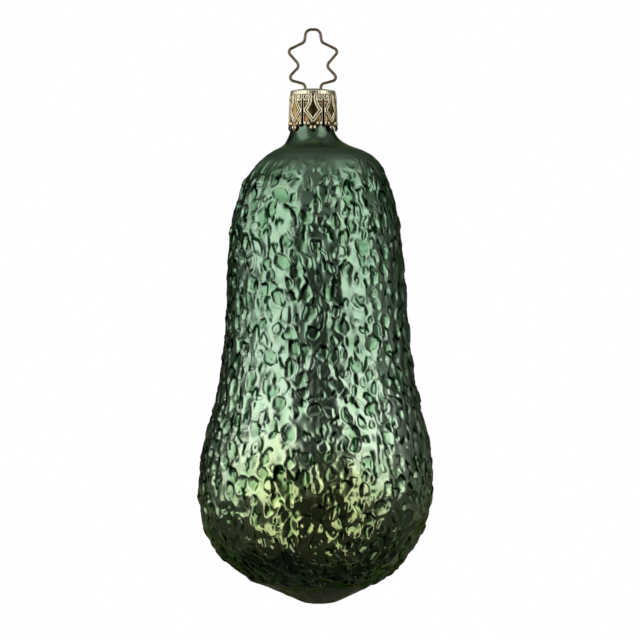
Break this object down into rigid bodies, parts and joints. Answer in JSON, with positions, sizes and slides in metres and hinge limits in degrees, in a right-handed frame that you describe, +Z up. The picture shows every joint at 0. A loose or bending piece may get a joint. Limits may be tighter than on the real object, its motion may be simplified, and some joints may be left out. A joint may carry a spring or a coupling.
{
  "type": "glass avocado ornament",
  "caption": "Hollow blown-glass avocado on a star-shaped spring wire hanger, whose legs grip the neck through a stamped metal cap.",
  "frame": {"origin": "highest point inside the hanger wire's arch, where a hook bears", "axes": "+Z up along the ornament's axis, +X along the width of the star, -Y towards the front"},
  "size_m": [0.0492, 0.0492, 0.1209],
  "materials": {
    "green_glass": "satin green lacquer over blown glass that is silvered inside",
    "gold_sheet": "stamped sheet, polished on the ridges with dark patina in the recesses",
    "antique_wire": "antique brown spring wire"
  },
  "bodies": {
    "hanger": {"hanger_wire": "antique_wire"},
    "cap": {"cap": "gold_sheet"},
    "glass": {"glass_body": "green_glass"}
  },
  "joints": [
    {"name": "hanger_play", "type": "slide", "parent": "hanger", "child": "cap", "axis": [0, 0, 1], "range_m": [-0.002, 0.0005]},
    {"name": "glass_pull", "type": "slide", "parent": "cap", "child": "glass", "axis": [0, 0, -1], "range_m": [0, 0.012]}
  ]
}
